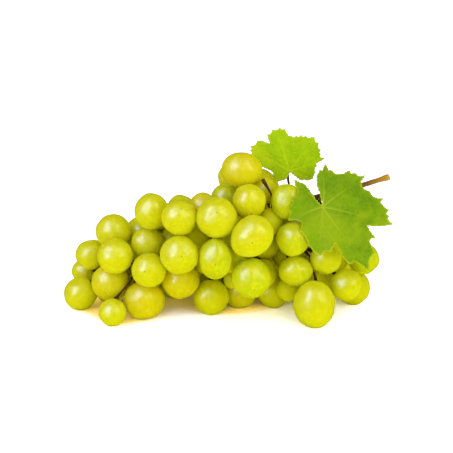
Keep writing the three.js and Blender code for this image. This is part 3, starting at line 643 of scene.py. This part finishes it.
@dataclass
class Berries:
    """The berries that stand for the CAD ones, and more of them behind, deep in the bunch.

    Once they are made, caps holds the place and direction of each CAD berry's stem end.
    """

    finish: GrapeSkin = GrapeSkin()
    # a copy of the skin for the berries deep in the bunch: its greyer bloom paints them a little darker for
    # the shade they lie in, and it has less gloss
    shaded_inner_finish: GrapeSkin = GrapeSkin(
        name="grape_skin_inner_shaded", bloom=(0.8, 0.8, 0.02), gloss=0.35, roughness=(0.5, 0.6)
    )
    count: int = 57
    plump: float = 0.2 * MM
    uneven: float = 0.03
    dimple: float = 0.07
    scar_rise: float = 0.012
    segments: int = 56
    rings: int = 36
    twig_reach: float = 0.75 * MM
    twig_gap: float = 0.35 * MM
    twig_width: float = 3.4 * MM
    stages: tuple[tuple[Ripeness, frozenset[int]], ...] = (
        (Ripeness.GOLDEN, frozenset({3, 4, 14, 16, 19, 22, 28})),
        (Ripeness.PALE, frozenset({2, 5, 10, 13, 15, 31, 33, 34, 35})),
        (Ripeness.GREENISH, frozenset({18, 23, 24, 27, 30, 36})),
    )
    ripeness_spread: float = 0.06
    draw_reach: float = 40.0
    draws: random.Random = field(default_factory=lambda: random.Random(11))
    caps: list[tuple[Array, Array]] = field(default_factory=list)

    def tree(self) -> NodeTree:
        """Makes the rule for a berry.

        Returns:
            A Geometry Nodes tree: a sphere whose top pole is the stem end, made slightly uneven,
            dimpled at the stem, stretched to the berry's ellipsoid, and pressed flat where it rests.
        """
        inputs = dict.fromkeys(("Centre", "Stem Direction", "Long Axis", "Draw"), "Vector")
        inputs |= dict.fromkeys(("Half Width", "Half Length", "Ripeness"), "Float")
        inputs["Skin"] = "Material"
        wire, given = new_group("grape_berry", "Geometry", inputs, {"Geometry": "Geometry"})
        values = {"Segments": self.segments, "Rings": self.rings, "Radius": 1.0}
        body = wire.add("GeometryNodeMeshUVSphere", values).outputs["Mesh"]
        body = wire.add("GeometryNodeSetShadeSmooth", {"Geometry": body}).outputs[0]
        ball = wire.add("GeometryNodeInputPosition").outputs[0]
        for name, kind, value in (
            ("skin", "FLOAT_VECTOR", ball),
            ("draw", "FLOAT_VECTOR", given["Draw"]),
            ("ripeness", "FLOAT", given["Ripeness"]),
        ):
            values = {"Geometry": body, "Name": name, "Value": value}
            body = wire.add("GeometryNodeStoreNamedAttribute", values, data_type=kind).outputs[0]

        height = wire.add("ShaderNodeSeparateXYZ", {0: ball}).outputs[2]
        lumps = wire.noise(wire.vector("ADD", ball, given["Draw"]), 1.2, 1.0)
        lumps = wire.ramp(lumps, 0.25, 0.75, -self.uneven, self.uneven)
        dimple = wire.ramp(height, 0.93, 1.0, 0.0, -self.dimple)
        scar = wire.ramp(height, -0.999, -0.985, self.scar_rise, 0.0)
        factor = wire.math("ADD", wire.math("ADD", lumps, dimple), wire.math("ADD", scar, 1.0))

        values = {"Vector": given["Stem Direction"]}
        turn = wire.add("FunctionNodeAlignRotationToVector", values, axis="Z").outputs[0]
        values = {"Vector": ball, "Rotation": turn}
        turned = wire.add("FunctionNodeRotateVector", values).outputs[0]
        round_part = wire.vector("SCALE", turned, scale=given["Half Width"])
        stretch = wire.math("SUBTRACT", given["Half Length"], given["Half Width"])
        stretch = wire.times(stretch, wire.vector("DOT_PRODUCT", turned, given["Long Axis"]))
        long_part = wire.vector("SCALE", given["Long Axis"], scale=stretch)
        shaped = wire.vector("SCALE", wire.vector("ADD", round_part, long_part), scale=factor)
        placed = wire.vector("ADD", shaped, given["Centre"])
        placed = wire.vector("MAXIMUM", placed, (-1.0, -1.0, 0.0))
        body = wire.add("GeometryNodeSetPosition", {"Geometry": body, "Position": placed}).outputs[0]
        wire.geometry(body, given["Skin"])
        return wire.tree

    def stem_end(self, shape: Shape, stems: Array) -> tuple[Array, Array]:
        """Finds where a berry's twig meets it.

        Args:
            shape: the berry.
            stems: the points of the CAD stems.

        Returns:
            The place on the skin and the direction out of the berry there.
        """
        gaps = shape.clearance(stems)
        near = stems[gaps < self.twig_reach + max(gaps.min() - self.twig_gap, 0)]
        first = near[np.argmin(shape.clearance(near))]
        cap = near[norm(near - first, axis=1) < self.twig_width].mean(0)
        out = cap - shape.centre
        out /= norm(out)
        return shape.centre + out * shape.radius(out), out

    def rows(self) -> Iterator[tuple[str, GrapeSkin, Shape, Array, float, list[str]]]:
        """Goes through the berries, and makes each one's random draws only when its turn comes.

        Yields:
            A berry's name, finish, ellipsoid, direction of its stem, ripeness and CAD node.
        """
        stems, _ = cad_points("stems")
        for number in range(1, self.count + 1):
            node = f"berry_{number:02d}"
            shape = Shape.of_node(node)
            self.caps.append(self.stem_end(shape, stems))
            yield f"grape_{number:02d}", self.finish, shape, self.caps[-1][1], self.ripeness(number), [node]
        for number, (*centre, radius) in enumerate(INNER_BERRIES, 1):
            shape = Shape(np.array(centre) * MM, np.array([0.0, 0.0, 1.0]), radius * MM, radius * MM)
            inward = stems[np.argmin(norm(stems - shape.centre, axis=1))] - shape.centre
            inward /= norm(inward)
            name = f"grape_inner_{number:02d}"
            yield name, self.shaded_inner_finish, shape, inward, Ripeness.YELLOW.value, []

    def build(self) -> None:
        """Makes every berry, each plumped up a little to touch its neighbours."""
        tree = self.tree()
        skins = {finish: finish.material() for finish in (self.finish, self.shaded_inner_finish)}
        for name, finish, shape, stem_direction, ripeness, nodes in self.rows():
            values = {
                "Centre": tuple(map(float, shape.centre)),
                "Stem Direction": tuple(map(float, stem_direction)),
                "Long Axis": tuple(map(float, shape.axis)),
                "Half Width": shape.half_width + self.plump,
                "Half Length": shape.half_length + self.plump,
                "Draw": tuple(self.draws.uniform(-self.draw_reach, self.draw_reach) for _ in range(3)),
                "Ripeness": ripeness,
                "Skin": skins[finish],
            }
            hand_over(grow(name, tree, values), "grape_skin", nodes)

    def ripeness(self, number: int) -> float:
        """A berry's ripeness: its group's, a little to either side."""
        stage = next((stage for stage, numbers in self.stages if number in numbers), Ripeness.YELLOW)
        return stage.value + self.draws.uniform(-self.ripeness_spread, self.ripeness_spread)


# ---- Stems ----


@dataclass
class Stems:
    """The stalk with its twigs and petioles, and a collar at each of the caps, the berries' stem ends."""

    caps: list[tuple[Array, Array]]
    finish: Bark = Bark()
    collar_radius: float = 1.9 * MM
    collar_height: float = 0.8 * MM
    voxel: float = 0.42 * MM
    smoothing: int = 5
    swell: float = 0.05 * MM
    bumps: float = 0.14 * MM
    bump_size: float = 1.6 * MM
    cut_depth: float = 1.2 * MM
    fresh_length: float = 22 * MM
    young_length: float = 4 * MM
    flare: float = 0.4
    flare_length: float = 7 * MM
    slant: Triple = (0.0, 0.8, -0.3)

    def collars(self) -> Object:
        """Makes the flat swollen collar that each berry hangs from, one on each twig's end.

        Returns:
            The collars as one object.
        """
        inputs = {"Places": "Geometry", "Radius": "Float", "Height": "Float", "Bark": "Material"}
        wire, given = new_group("twig_collars", "Geometry", inputs, {"Geometry": "Geometry"})
        values = {"Segments": 14, "Rings": 8, "Radius": 1.0}
        ball = wire.add("GeometryNodeMeshUVSphere", values).outputs["Mesh"]
        size = wire.add("ShaderNodeCombineXYZ", {0: given["Radius"], 1: given["Radius"], 2: given["Height"]})
        facing = wire.add("GeometryNodeInputNamedAttribute", {"Name": "facing"}, data_type="FLOAT_VECTOR")
        values = {"Vector": facing.outputs["Attribute"]}
        turn = wire.add("FunctionNodeAlignRotationToVector", values, axis="Z").outputs[0]
        values = {"Points": given["Places"], "Instance": ball, "Rotation": turn, "Scale": size.outputs[0]}
        wire.geometry(wire.add("GeometryNodeInstanceOnPoints", values).outputs[0], given["Bark"])
        places, outward = (np.array(column) for column in zip(*self.caps))
        base = mesh_from("collar_places", places, [])
        store(base, "facing", outward)
        values = {"Radius": self.collar_radius, "Height": self.collar_height}
        return grow("twig_collars", wire.tree, values, base)

    def build(self) -> None:
        """Makes the stems as one grown piece."""
        points, faces = cad_points("stems")
        collars = self.collars()
        extra = read(collars.data.vertices, "co")
        extra_faces = [[corner + len(points) for corner in face.vertices] for face in collars.data.polygons]
        bpy.data.objects.remove(collars)
        mesh = mesh_from("vine_stems", np.vstack([points, extra]), [*faces.tolist(), *extra_faces])
        made = new_object("vine_stems", mesh)
        remesh = made.modifiers.new("grown together", "REMESH")
        remesh.mode = "VOXEL"
        remesh.voxel_size = self.voxel
        smooth = made.modifiers.new("rounded", "SMOOTH")
        smooth.factor = 0.5
        smooth.iterations = self.smoothing
        apply_modifiers(made)
        self.roughen(made.data)
        made.data.materials.append(self.finish.material())
        made.data.shade_smooth()
        hand_over(made, "stem_bark", ["stems"])

    def roughen(self, mesh: Mesh) -> None:
        """Gives the bark its bumps, and marks the cut face and the young wood.

        Args:
            mesh: the stems.
        """
        points = read(mesh.vertices, "co")
        normals = read(mesh.vertices, "normal")
        bumps = np.array([noise.noise(Vector(place)) for place in points / self.bump_size])
        from_end = points[:, 0].max() - points[:, 0]
        is_end = from_end < self.cut_depth
        store(mesh, "cut_face", np.clip((normals[:, 0] - 0.45) / 0.3, 0, 1) * is_end)
        store(mesh, "fresh", np.clip(1 - from_end / self.fresh_length, 0, 1) ** 1.3 * 0.95)
        nearest = np.min([norm(points - place, axis=1) for place, _ in self.caps], axis=0)
        store(mesh, "youth", np.exp(-nearest / self.young_length))
        push = np.where(is_end, 0.0, self.swell + self.bumps * bumps)
        points += normals * push[:, None]
        mesh.vertices.foreach_set("co", self.flared(points).ravel())
        mesh.update()

    def flared(self, points: Array) -> Array:
        """Widens the stalk towards its cut end, and slants the cut.

        Args:
            points: the points of the stems.

        Returns:
            The points, moved near that end.
        """
        from_end = points[:, 0].max() - points[:, 0]
        near = from_end < self.flare_length
        middle = points[near].mean(0)
        axis = np.linalg.svd(points[near] - middle, full_matrices=False)[2][0]
        axis *= np.sign(axis[0])
        away = points - middle
        radial = away - np.outer(away @ axis, axis)
        ramp = np.clip(1 - from_end / self.flare_length, 0, 1)[:, None] ** 1.5
        slide = (radial @ np.array(self.slant))[:, None] * axis
        return points + ramp * (radial * self.flare + slide)


# ---- Leaves ----


@dataclass
class Leaf:
    """A vine leaf's blade, on the CAD blade's outline and heights, with teeth and veins.

    It is drawn flat in a frame of its own, with the end of its stalk at the origin. A vein is given by
    its direction in degrees, its length in mm and its bend in degrees, and a small tooth by how far
    along the side of a large one its corner is, and how far out, as shares of that side.
    """

    node: str
    name: str
    slot: str
    finish: LeafGreen
    lean: float
    turn: float
    veins: tuple[Triple, ...]
    thickness: float = 0.42 * MM
    rim: float = 0.2 * MM
    rim_width: float = 3 * MM
    cad_thickness: float = 0.8 * MM
    spacing: float = 0.5 * MM
    smoothing: int = 60
    small_teeth: tuple[Span, ...] = ((0.0, 0.0), (0.3, 0.14), (0.4, -0.05), (0.64, 0.17), (0.74, -0.05))
    long_side: float = 3 * MM
    main_width: Span = (0.6 * MM, 0.25 * MM)
    side_width: Span = (0.34 * MM, 0.16 * MM)
    side_strength: float = 0.35
    side_spacing: float = 5.2 * MM
    side_angle: float = 46.0
    side_turn: float = 0.5
    side_step: float = 0.8 * MM
    most_steps: int = 60
    side_gap: float = 2.2 * MM
    groove: float = 0.08 * MM
    rib: float = 0.4 * MM
    puff: float = 0.18 * MM
    puff_width: float = 1.8 * MM
    margin_width: float = 0.7 * MM
    outline: Array = field(init=False)
    flat: Array = field(init=False)
    triangles: Array = field(init=False)

    def build(self) -> None:
        """Makes the leaf."""
        points, faces = cad_points(self.node)
        corners = np.bincount(faces.ravel(), minlength=len(points))
        junction = points[np.argsort(corners)[-2:]].mean(0)
        leaned = Matrix.Rotation(math.radians(90 - self.lean), 3, "X")
        turned = Matrix.Rotation(math.radians(-self.turn), 3, "Z") @ leaned
        local = (points - junction) @ np.array(turned)
        self.outline = self.toothed(self.cad_rim(local, faces))
        self.fill()
        mesh = self.blade(self.heights(local, faces))
        mesh.transform(Matrix.Translation(junction) @ turned.to_4x4())
        mesh.materials.append(self.finish.material())
        hand_over(new_object(self.name, mesh), self.slot, [self.node])

    @staticmethod
    def cad_rim(local: Array, faces: Array) -> Array:
        """Walks round the CAD blade's rim.

        Args:
            local: the CAD points in the blade's own frame.
            faces: the CAD triangles.

        Returns:
            The flat places of the rim's corners, in order and turning left.
        """
        across = np.cross(local[faces[:, 1]] - local[faces[:, 0]], local[faces[:, 2]] - local[faces[:, 0]])
        upright = np.abs(across[:, 2]) < 0.01 * norm(across, axis=1)
        wall = faces[upright]
        corners = np.unique(wall)
        apart = np.abs(local[corners][:, None, :2] - local[corners][None, :, :2]).max(2)
        place_of = dict(zip(corners, corners[np.argmax(apart < 0.02 * MM, axis=1)]))
        onward: dict[int, set[int]] = {}
        for face in wall:
            ends = {place_of[corner] for corner in face}
            if len(ends) == 2:
                first, second = ends
                onward.setdefault(first, set()).add(second)
                onward.setdefault(second, set()).add(first)
        start = next(iter(onward))
        loop, before, here = [start], start, min(onward[start])
        while here != start:
            loop.append(here)
            before, here = here, next(place for place in onward[here] if place != before)
        rim = local[loop, :2]
        following = np.roll(rim, -1, axis=0)
        area = (rim[:, 0] * following[:, 1] - rim[:, 1] * following[:, 0]).sum()
        return rim if area > 0 else rim[::-1]

    def toothed(self, rim: Array) -> Array:
        """Adds small teeth to each side of a large one.

        Args:
            rim: the CAD rim.

        Returns:
            The rim with more corners.
        """
        side = np.roll(rim, -1, axis=0) - rim
        length = norm(side, axis=1, keepdims=True)
        outward = np.stack([side[:, 1], -side[:, 0]], 1) * np.minimum(1, self.long_side / length)
        rows = [rim + side * along + outward * out for along, out in self.small_teeth]
        return np.stack(rows, 1).reshape(-1, 2)

    def to_rim(self, places: Array) -> Array:
        """How far flat places are from the outline."""
        return distance_to_line(places, np.vstack([self.outline, self.outline[:1]]))[0]

    def fill(self) -> None:
        """Fills the outline with an even net of triangles, whose first points are the rim's."""
        low, high = self.outline.min(0), self.outline.max(0)
        across, up = self.spacing, self.spacing * math.sqrt(3) / 2
        net = np.array([
            (x, y)
            for k, y in enumerate(np.arange(low[1], high[1], up))
            for x in np.arange(low[0] + (k % 2) * across / 2, high[0], across)
        ])
        net = net[(self.to_rim(net) > 0.6 * self.spacing) & inside(net, self.outline)]
        places = [Vector(place) for place in np.vstack([self.outline, net])]
        edges = [(i, (i + 1) % len(self.outline)) for i in range(len(self.outline))]
        found, _, triangles, origins, _, _ = delaunay_2d_cdt(places, edges, [], 1, 1e-9)
        assert [ids[0] for ids in origins] == list(range(len(places)))
        self.flat = np.array([tuple(place) for place in found])
        self.triangles = np.array(triangles)

    def heights(self, local: Array, faces: Array) -> Array:
        """Takes the blade's height over its plane from the CAD blade, and rounds its facets off.

        Args:
            local: the CAD points in the blade's own frame.
            faces: the CAD triangles.

        Returns:
            The height of the middle of the blade at each point.
        """
        tree = BVHTree.FromPolygons(local.tolist(), faces.tolist())
        down = Vector((0, 0, -1))
        count = len(self.flat)
        height = np.zeros(count)
        for i, (x, y) in enumerate(self.flat):
            hit = tree.ray_cast(Vector((x, y, 1.0)), down)[0]
            if hit is None:
                nearest = np.argmin(((local[:, :2] - (x, y)) ** 2).sum(1))
                own = np.abs(local[:, :2] - local[nearest, :2]).max(1) < 0.01 * MM
                height[i] = local[own, 2].mean()
            else:
                height[i] = hit.z - self.cad_thickness / 2
        sides = self.triangles[:, [0, 1, 1, 2, 2, 0]].reshape(-1, 2)
        here, there = np.unique(np.sort(sides, axis=1), axis=0).T
        ways = np.bincount(here, minlength=count) + np.bincount(there, minlength=count)
        for _ in range(self.smoothing):
            total = np.bincount(here, height[there], count) + np.bincount(there, height[here], count)
            height = (height + total / ways) / 2
        return height

    def vein_lines(self) -> tuple[list[Array], list[Array]]:
        """Draws the veins on the flat blade.

        Returns:
            The main veins and the side veins, each a line of flat places.
        """
        mains, sides = [], []
        steps = np.linspace(0, 1, 24)
        for angle, length, bend in self.veins:
            way = np.radians(angle + bend * (steps - 0.5))
            mains.append(length * MM * steps[:, None] * np.stack([np.cos(way), np.sin(way)], 1))
        for own, main in enumerate(mains):
            others = np.vstack([line[4:] for i, line in enumerate(mains) if i != own])
            ahead = math.atan2(*(main[-1] - main[0])[::-1])
            count = max(int(norm(main[-1]) / self.side_spacing), 2)
            for k in range(1, count):
                at = (k - 0.35) / count
                start = np.array([np.interp(at, steps, main[:, i]) for i in (0, 1)])
                sides.append(self.side_vein(start, ahead, -1, others))
                sides.append(self.side_vein(start + main[1] - main[0], ahead, 1, others))
        return mains, [line for line in sides if len(line) > 3]

    def side_vein(self, start: Array, ahead: float, hand: int, others: Array) -> Array:
        """Draws one side vein, until it nears the rim or another main vein.

        Args:
            start: where it leaves its main vein.
            ahead: the main vein's direction in radians.
            hand: 1 for its left side and -1 for its right.
            others: the points of the other main veins.

        Returns:
            Its line of flat places.
        """
        line = [start]
        for k in range(self.most_steps):
            way = ahead + hand * math.radians(max(self.side_angle - self.side_turn * k, 18))
            point = line[-1] + self.side_step * np.array([math.cos(way), math.sin(way)])
            to_corner = norm(self.outline - point, axis=1).min()
            if to_corner < self.side_step or not inside(point[None], self.outline)[0]:
                break
            if k > 3 and norm(others - point, axis=1).min() < self.side_gap:
                break
            line.append(point)
        return np.array(line)

    def vein_masks(self) -> tuple[Array, Array, Array]:
        """Measures each point of the blade from the veins.

        Returns:
            How much each point shows as vein, how much it lies on a main one, and how far between
            veins it is, each from 0 to 1.
        """
        show = np.zeros(len(self.flat))
        on_main = np.zeros(len(self.flat))
        away = np.full(len(self.flat), np.inf)
        mains, sides = self.vein_lines()
        kinds = ((mains, self.main_width, 1.0), (sides, self.side_width, self.side_strength))
        for lines, widths, strength in kinds:
            for line in lines:
                distance, along = distance_to_line(self.flat, line)
                width = widths[0] + (widths[1] - widths[0]) * along
                mask = np.clip(1.4 - distance / width, 0, 1) * strength * (1 - 0.6 * along)
                show = np.maximum(show, mask)
                if lines is mains:
                    on_main = np.maximum(on_main, np.clip(1.6 - distance / (1.3 * width), 0, 1))
                away = np.minimum(away, distance)
        return show, on_main, np.clip(away / self.puff_width, 0, 1)

    def blade(self, height: Array) -> Mesh:
        """Makes both faces and the rim between them.

        Args:
            height: the height of the middle of the blade at each point.

        Returns:
            The mesh in the leaf's own frame, without a material.
        """
        vein, on_main, away = self.vein_masks()
        to_rim = self.to_rim(self.flat)
        half = (self.rim + (self.thickness - self.rim) * np.clip(to_rim / self.rim_width, 0, 1)) / 2
        fade = np.clip(2 * to_rim / self.rim_width, 0, 1)
        puff = self.puff * np.sqrt(away) * fade
        ridge = np.maximum(on_main, 0.6 * vein) * fade
        front = height + puff + half - self.groove * ridge
        back = height + puff * 0.8 - half - self.rib * ridge
        points = np.vstack([np.column_stack([self.flat, side]) for side in (front, back)])
        count = len(self.flat)
        here = np.arange(len(self.outline))
        onward = np.roll(here, -1)
        walls = np.column_stack([here, here + count, onward + count, onward])
        faces = [*self.triangles.tolist(), *(self.triangles[:, ::-1] + count).tolist(), *walls.tolist()]
        mesh = mesh_from(self.name, points, faces)
        store(mesh, "flat", points * (1, 1, 0))
        store(mesh, "vein", np.tile(vein, 2))
        store(mesh, "margin", np.tile(np.clip(1 - to_rim / self.margin_width, 0, 1), 2))
        store(mesh, "underside", np.repeat([0.0, 1.0], count))
        return mesh


def inside(places: Array, outline: Array) -> Array:
    """Whether each flat place lies within a closed outline.

    Args:
        places: the flat places.
        outline: the outline's corners.

    Returns:
        Yes or no for each place.
    """
    crossings = np.zeros(len(places), bool)
    for (x0, y0), (x1, y1) in zip(outline, np.roll(outline, -1, axis=0)):
        if y0 != y1:
            level = (y0 > places[:, 1]) != (y1 > places[:, 1])
            at = x0 + (places[:, 1] - y0) * (x1 - x0) / (y1 - y0)
            crossings ^= level & (places[:, 0] < at)
    return crossings


def distance_to_line(points: Array, line: Array) -> tuple[Array, Array]:
    """Measures points from a line of short stretches.

    Args:
        points: flat places.
        line: the line's flat places.

    Returns:
        Each point's distance, and how far along the line its nearest place is, from 0 to 1.
    """
    best = np.full(len(points), np.inf)
    along = np.zeros(len(points))
    for k, (start, end) in enumerate(zip(line[:-1], line[1:])):
        step = end - start
        t = np.clip((points - start) @ step / (step @ step), 0, 1)
        distance = norm(points - start - t[:, None] * step, axis=1)
        nearer = distance < best
        best[nearer] = distance[nearer]
        along[nearer] = (k + t[nearer]) / (len(line) - 1)
    return best, along


# ---- Studio ----


class LightUse(Enum):
    """What a light gives."""

    SHADING = 1
    GLEAMS = 2


@dataclass
class Softbox:
    """A square soft light that faces the bunch."""

    name: str
    direction: Triple
    width: float
    height: float
    power: float
    colour: Colour
    use: LightUse
    distance: float = 0.9

    def build(self, target: Vector) -> None:
        """Hangs the light.

        Args:
            target: what it faces.
        """
        lamp = bpy.data.lights.new(self.name, "AREA")
        lamp.shape = "RECTANGLE"
        lamp.size, lamp.size_y = self.width, self.height
        lamp.energy = self.power
        lamp.color = self.colour
        made = new_object(self.name, lamp)
        out = Vector(self.direction).normalized()
        made.location = target + out * self.distance
        made.rotation_euler = out.to_track_quat("Z", "Y").to_euler()
        made.visible_diffuse = self.use is LightUse.SHADING
        made.visible_glossy = self.use is LightUse.GLEAMS


@dataclass
class Studio:
    """The pale floor, the soft lights and the camera.

    The floor and the sky each have the light that they give, and how bright they are in reflections.
    """

    target: Vector = field(default_factory=lambda: Vector((0.0002, 0.0, 0.0518)))
    elevation: float = 18.24
    camera_distance: float = 0.693
    lens: float = 90.3
    sensor: float = 36.0
    floor_side: float = 6.0
    floor_cell: float = 5 * MM
    floor_white: Triple = (2.45, 2.35, 3.5)
    # the colour of the painted warm shadow near the berries
    floor_painted_warm_shadow: Triple = (2.4, 1.75, 0.75)
    shade_reach: float = 20 * MM
    shade_range: Span = (0.018, 0.03)
    floor_light: Span = (1.3, 0.03)
    sky_seen: float = 1.1
    sky_light: Span = (0.64, 0.03)
    lights: tuple[Softbox, ...] = (
        Softbox("key_softbox", (-0.607, -0.54, 0.57), 0.5, 0.95, 0.6, (1.0, 0.99, 0.95), LightUse.SHADING),
        Softbox("key_gleam", (-0.607, -0.54, 0.57), 0.6, 1.0, 13.5, (0.62, 0.65, 1.0), LightUse.GLEAMS),
        Softbox("right_fill", (1.0, -0.9, 0.2), 1.2, 0.6, 1.8, (1.0, 1.0, 0.98), LightUse.SHADING),
        Softbox("front_fill", (-0.1, -1.0, 0.12), 1.3, 0.5, 0.8, (1.0, 1.0, 0.98), LightUse.SHADING),
        Softbox("second_gleam", (0.6, -0.477, 0.64), 0.45, 0.8, 3.6, (1.0, 0.97, 0.6), LightUse.GLEAMS),
    )

    def build(self) -> None:
        """Sets up the camera, the lights, the sky and the floor."""
        scene = bpy.context.scene
        scene.view_settings.view_transform = "Standard"
        lens = bpy.data.cameras.new("camera")
        lens.lens = self.lens
        lens.sensor_width = self.sensor
        lens.dof.use_dof = False
        camera = new_object("camera", lens)
        tilt = math.radians(self.elevation)
        out = Vector((0, -math.cos(tilt), math.sin(tilt)))
        camera.location = self.target + out * self.camera_distance
        camera.rotation_euler = out.to_track_quat("Z", "Y").to_euler()
        scene.camera = camera
        for light in self.lights:
            light.build(self.target)
        self.sky()
        self.floor()

    def seen_by(self, wire: Wiring, seen: Any, lighting: float, mirrored: float) -> Any:
        """A brightness that depends on the kind of light ray.

        Args:
            wire: the wiring of the floor or the sky.
            seen: for what the camera sees.
            lighting: for the light that it gives.
            mirrored: for reflections.

        Returns:
            The socket with the brightness.
        """
        path = wire.add("ShaderNodeLightPath").outputs
        value = wire.times(path["Is Camera Ray"], wire.math("SUBTRACT", seen, lighting))
        glossy = wire.times(path["Is Glossy Ray"], mirrored - lighting)
        return wire.math("ADD", wire.math("ADD", value, glossy), lighting)

    def sky(self) -> None:
        """Lights the bunch evenly from all round."""
        world = bpy.data.worlds.new("white_sky")
        world.use_nodes = True
        world.node_tree.nodes.clear()
        wire = Wiring(world.node_tree)
        strength = self.seen_by(wire, self.sky_seen, *self.sky_light)
        values = {"Color": (1, 1, 1, 1), "Strength": strength}
        wire.surface("ShaderNodeBackground", values, "ShaderNodeOutputWorld")
        world.cycles.sampling_method = "NONE"
        bpy.context.scene.world = world

    def floor(self) -> None:
        """Lays the white floor, with a warm shadow painted on it near the berries, for their shade and the
        light that comes through them.
        """
        low, high = (np.array(corner) for corner in CAD_BOX)
        half, margin = self.floor_side / 2, 2 * self.shade_reach
        ways = [
            np.array([-half, *np.arange(start - margin, end + margin, self.floor_cell), half])
            for start, end in zip(low[:2], high[:2])
        ]
        x, y = np.meshgrid(*ways)
        corners = np.stack([x, y, 0 * x], -1).reshape(-1, 3)
        at = np.arange(len(corners)).reshape(x.shape)
        faces = np.stack([at[:-1, :-1], at[:-1, 1:], at[1:, 1:], at[1:, :-1]], -1).reshape(-1, 4)
        mesh = mesh_from("floor", corners, faces)
        berries = np.vstack([cad_points(f"berry_{number:02d}")[0] for number in range(1, Berries.count + 1)])
        gaps = (norm(berries - corner, axis=1) / self.shade_reach for corner in corners)
        store(mesh, "shade", np.array([np.exp(-(gap**2)).mean() for gap in gaps]))
        material, wire = new_material("white_floor")
        # painted shadow: where the berries crowd near, the floor goes from white to a darker, warm tint
        shade = wire.ramp(wire.attribute("shade"), *self.shade_range)
        tints = [wire.ramp(shade, 0.0, 1.0, *ends) for ends in zip(self.floor_white, self.floor_painted_warm_shadow)]
        seen = [self.seen_by(wire, tint, *self.floor_light) for tint in tints]
        colour = wire.add("ShaderNodeCombineColor", dict(enumerate(seen))).outputs[0]
        wire.surface("ShaderNodeBsdfDiffuse", {"Color": colour})
        mesh.materials.append(material)
        new_object("floor", mesh)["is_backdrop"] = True


# ---- The bunch ----

LARGE_LEAF = Leaf(
    node="leaf_large",
    name="vine_leaf_large",
    slot="leaf_deep_green",
    finish=LeafGreen(
        "leaf_deep_green", blade=(0.25, 0.45, 0.0008), shade=(0.155, 0.34, 0.0008), light=(0.36, 0.53, 0.002)
    ),
    lean=34,
    turn=6,
    veins=(
        (-10, 41, -4), (-52, 45, 8), (-92, 28, -8), (-157, 21, 8), (-224, 23, 6), (89, 26, 8), (41, 31, -8)
    ),
)
SMALL_LEAF = Leaf(
    node="leaf_small",
    name="vine_leaf_small",
    slot="leaf_yellow_green",
    finish=LeafGreen(
        "leaf_yellow_green",
        blade=(0.49, 0.74, 0.001),
        shade=(0.38, 0.62, 0.001),
        light=(0.64, 0.80, 0.003),
        vein=(0.66, 0.84, 0.01),
    ),
    lean=8,
    turn=-8,
    veins=((17, 22, 6), (50, 25, -6), (104, 26, 5), (147, 27, 8), (208, 9, 5), (-18, 15, -6)),
)


def main() -> None:
    """Builds the bunch and its studio."""
    logging.basicConfig(level=logging.INFO, format="%(name)s: %(message)s")
    berries = Berries()
    berries.build()
    Stems(caps=berries.caps).build()
    for leaf in (LARGE_LEAF, SMALL_LEAF):
        leaf.build()
    Studio().build()
    boxes = {"cad": CAD_BOX, "visual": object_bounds()}
    {name: [list(corner) for corner in box] for name, box in boxes.items()}


if __name__ == "__main__":
    main()
